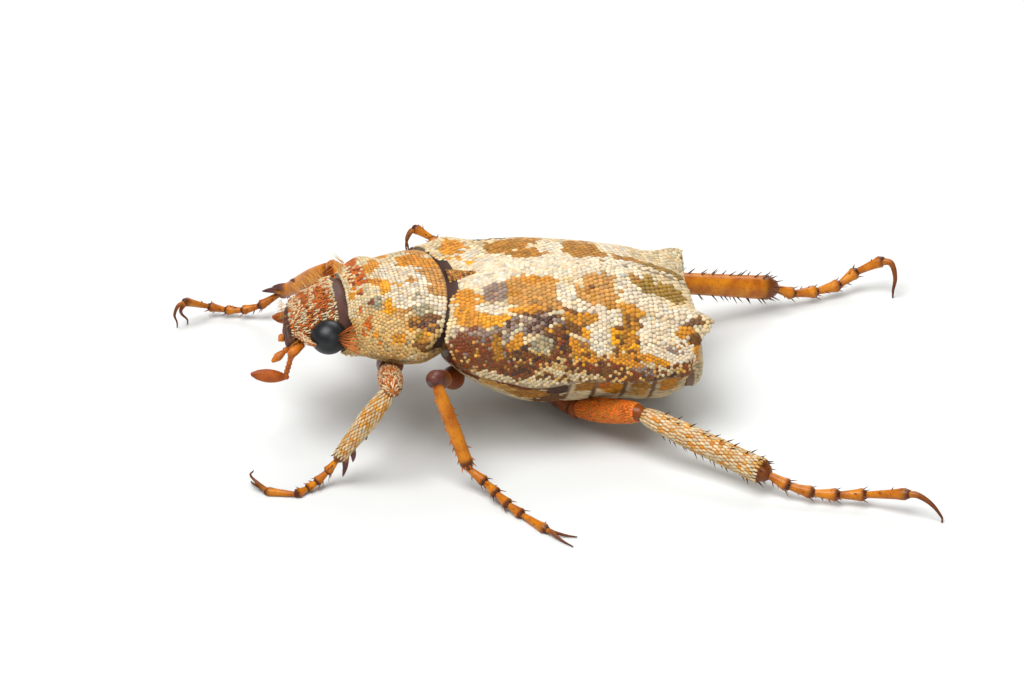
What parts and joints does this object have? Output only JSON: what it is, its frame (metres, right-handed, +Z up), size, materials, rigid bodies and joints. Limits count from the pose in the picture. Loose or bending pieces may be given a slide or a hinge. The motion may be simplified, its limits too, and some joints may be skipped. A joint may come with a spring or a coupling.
{
  "type": "hoplia beetle",
  "caption": "Still, life-size museum model of a scaly hoplia beetle standing on its six legs, with a mottled back, black eyes, clubbed feelers and spiny legs.",
  "frame": {"origin": "centre of the model's box, on the floor that the feet rest on", "axes": "-Y towards the head, +X towards the beetle's left side, +Z up from the floor"},
  "size_m": [0.019, 0.0224, 0.005],
  "materials": {
    "shell": "cream, ochre and brown scales set close on dark horn, satin",
    "scutellum": "rust-brown scales, satin",
    "underside": "cream and ochre scales with bare brown seams, satin",
    "face": "pointed cream and rust-orange scales on dark horn",
    "clypeus": "bare dark purple-brown horn, semi-gloss",
    "eyes": "glossy black with a fine facet texture",
    "feelers": "rust-orange horn, semi-gloss, a few bristles",
    "upper_legs": "rust-orange horn with lighter scales",
    "lower_legs": "amber horn with cream scales and dark spines",
    "feet": "amber horn with darker joints and claws"
  },
  "bodies": {
    "root": {"pronotum": "shell", "elytron_left": "shell", "elytron_right": "shell", "scutellum": "scutellum", "prosternum": "underside", "thorax": "underside", "abdomen": "underside", "pygidium": "underside", "head": "face", "clypeus": "clypeus", "eye_left": "eyes", "eye_right": "eyes", "antenna_left": "feelers", "antenna_right": "feelers", "mouthparts": "feelers", "coxa_front_left": "upper_legs", "coxa_front_right": "upper_legs", "coxa_middle_left": "upper_legs", "coxa_middle_right": "upper_legs", "coxa_hind_left": "upper_legs", "coxa_hind_right": "upper_legs", "femur_front_left": "upper_legs", "femur_front_right": "upper_legs", "femur_middle_left": "upper_legs", "femur_middle_right": "upper_legs", "femur_hind_left": "upper_legs", "femur_hind_right": "upper_legs", "tibia_front_left": "lower_legs", "tibia_front_right": "lower_legs", "tibia_middle_left": "lower_legs", "tibia_middle_right": "lower_legs", "tibia_hind_left": "lower_legs", "tibia_hind_right": "lower_legs", "foot_front_left": "feet", "foot_front_right": "feet", "foot_middle_left": "feet", "foot_middle_right": "feet", "foot_hind_left": "feet", "foot_hind_right": "feet"}
  },
  "joints": []
}
